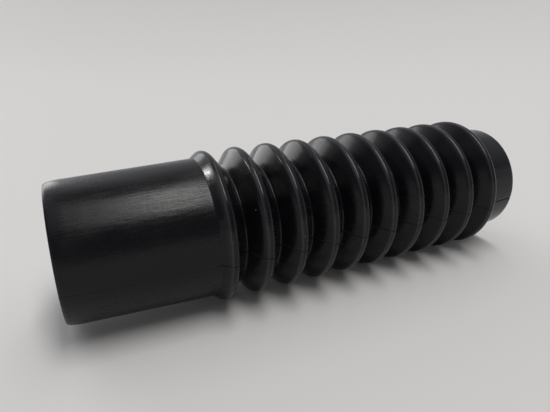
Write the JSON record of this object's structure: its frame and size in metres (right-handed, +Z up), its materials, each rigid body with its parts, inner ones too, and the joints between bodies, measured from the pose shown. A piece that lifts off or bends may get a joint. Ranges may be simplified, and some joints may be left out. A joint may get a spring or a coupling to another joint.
{
  "type": "fork gaiter",
  "caption": "Black rubber bellows with a long plain sleeve at one end and a short collar at the other, open right through, to cover the sliding tube of a motorcycle fork.",
  "frame": {"origin": "on the surface that the gaiter lies on, under the middle of its length", "axes": "+X along the gaiter's axis from the sleeve's mouth to the collar's end, +Z up"},
  "size_m": [0.2252, 0.0678, 0.0676],
  "materials": {
    "rubber": "semi-gloss moulded black rubber"
  },
  "bodies": {
    "root": {"gaiter": "rubber"}
  },
  "joints": []
}
